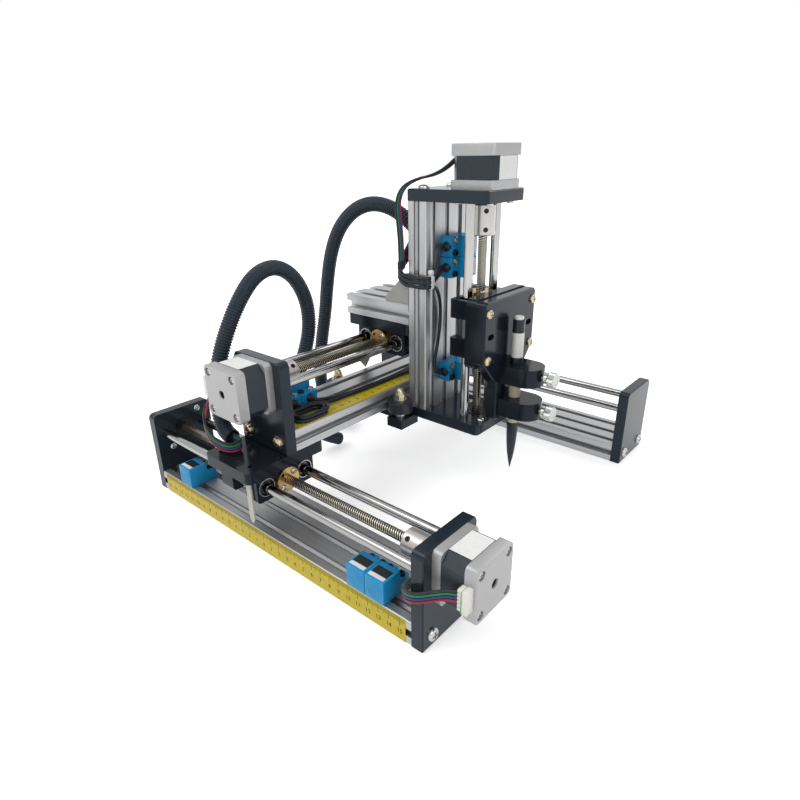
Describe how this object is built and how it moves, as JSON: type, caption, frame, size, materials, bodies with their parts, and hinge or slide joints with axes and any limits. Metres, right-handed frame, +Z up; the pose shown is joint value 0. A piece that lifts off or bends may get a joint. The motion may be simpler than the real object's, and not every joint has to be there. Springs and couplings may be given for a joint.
{
  "type": "xyz linear stage",
  "caption": "Three-axis screw-driven linear stage with two floor rails, a gantry bar, an upright slide and a pen holder.",
  "frame": {"origin": "middle of the front rail's underside, on the table", "axes": "+X along the front rail to its motor, +Y to the rear rail, +Z up"},
  "size_m": [0.377, 0.414, 0.314],
  "materials": {
    "aluminium": "satin",
    "cast_grey": "matt",
    "black_moulding": "gloss",
    "rod_steel": "polished",
    "hardware_steel": "satin",
    "motor_shell": "satin",
    "coupler_metal": "satin",
    "brass": "polished",
    "sensor_blue": "gloss",
    "tape_yellow": "satin",
    "pointer_grey": "satin",
    "roller_black": "satin",
    "cord_black": "satin",
    "pen_body": "gloss"
  },
  "bodies": {
    "base": {"front_profile": "aluminium", "rear_profile": "aluminium", "x_motor_plate": "black_moulding", "x_idler_plate": "black_moulding", "rear_left_plate": "black_moulding", "rear_right_plate": "black_moulding", "rail_rods": "rod_steel", "x_motor": "motor_shell", "x_sensors": "sensor_blue", "x_ruler": "tape_yellow", "base_hardware": "hardware_steel", "x_motor_leads": "cord_black"},
    "x_screw": {"x_leadscrew": "rod_steel", "x_coupler": "coupler_metal"},
    "x_gantry": {"x_carriage": "black_moulding", "rear_carriage": "black_moulding", "x_nut": "brass", "gantry_bushings": "rod_steel", "x_pointer": "pointer_grey", "y_profile": "aluminium", "y_motor_plate": "black_moulding", "y_idler_plate": "black_moulding", "y_rods": "rod_steel", "y_motor": "motor_shell", "y_sensors": "sensor_blue", "y_ruler": "tape_yellow", "gantry_hardware": "hardware_steel", "hose_front": "cord_black", "y_motor_leads": "cord_black", "y_sensor_coil": "cord_black"},
    "y_screw": {"y_leadscrew": "rod_steel", "y_coupler": "coupler_metal"},
    "cross_slide": {"y_carriage": "black_moulding", "y_nut": "brass", "y_bushings": "rod_steel", "y_pointer": "pointer_grey", "arm_profile": "aluminium", "arm_bracket": "cast_grey", "z_profile": "aluminium", "z_motor_plate": "black_moulding", "z_idler_plate": "black_moulding", "z_rods": "rod_steel", "z_motor": "motor_shell", "z_sensors": "sensor_blue", "column_hardware": "hardware_steel", "roller_bracket": "black_moulding", "hose_rear": "cord_black", "z_cables": "cord_black"},
    "left_roller": {"left_roller": "roller_black"},
    "right_roller": {"right_roller": "roller_black"},
    "z_screw": {"z_leadscrew": "rod_steel", "z_coupler": "coupler_metal"},
    "z_slide_body": {"z_carriage": "black_moulding", "z_nut": "brass", "z_bushings": "rod_steel", "pen_plate": "black_moulding", "pen_plate_screws": "brass", "pen": "pen_body"},
    "upper_thumb": {"upper_thumb_screw": "hardware_steel"},
    "lower_thumb": {"lower_thumb_screw": "hardware_steel"}
  },
  "joints": [
    {"name": "x_slide", "type": "slide", "parent": "base", "child": "x_gantry", "axis": [1, 0, 0], "range_m": [-0.1, 0.12]},
    {"name": "x_screw_turn", "type": "hinge", "parent": "base", "child": "x_screw", "pos_m": [0, 0, 0.058], "axis": [1, 0, 0], "range_deg": [-4501, 5401]},
    {"name": "y_slide", "type": "slide", "parent": "x_gantry", "child": "cross_slide", "axis": [0, 1, 0], "range_m": [-0.07, 0.095]},
    {"name": "y_screw_turn", "type": "hinge", "parent": "x_gantry", "child": "y_screw", "pos_m": [-0.026, 0.17, 0.138], "axis": [0, 1, 0], "range_deg": [-3151, 4276]},
    {"name": "left_roller_turn", "type": "hinge", "parent": "cross_slide", "child": "left_roller", "pos_m": [-0.0683, 0.128, 0.086], "axis": [0, 0, 1], "range_deg": [-455, 336]},
    {"name": "right_roller_turn", "type": "hinge", "parent": "cross_slide", "child": "right_roller", "pos_m": [0.0163, 0.128, 0.086], "axis": [0, 0, 1], "range_deg": [-336, 455]},
    {"name": "z_slide", "type": "slide", "parent": "cross_slide", "child": "z_slide_body", "axis": [0, 0, 1], "range_m": [-0.032, 0.045]},
    {"name": "z_screw_turn", "type": "hinge", "parent": "cross_slide", "child": "z_screw", "pos_m": [0.072, 0.174, 0.175], "axis": [0, 0, 1], "range_deg": [-1441, 2026]},
    {"name": "upper_thumb_turn", "type": "hinge", "parent": "z_slide_body", "child": "upper_thumb", "pos_m": [0.14, 0.174, 0.129], "axis": [1, 0, 0], "range_deg": [-720, 0]},
    {"name": "lower_thumb_turn", "type": "hinge", "parent": "z_slide_body", "child": "lower_thumb", "pos_m": [0.14, 0.174, 0.098], "axis": [1, 0, 0], "range_deg": [-720, 0]}
  ],
  "couplings": [
    {"joint": "x_screw_turn", "follows": "x_slide", "rad_per_m": 785.4},
    {"joint": "y_screw_turn", "follows": "y_slide", "rad_per_m": 785.4},
    {"joint": "z_screw_turn", "follows": "z_slide", "rad_per_m": 785.4},
    {"joint": "left_roller_turn", "follows": "y_slide", "rad_per_m": -83.333},
    {"joint": "right_roller_turn", "follows": "y_slide", "rad_per_m": 83.333}
  ]
}
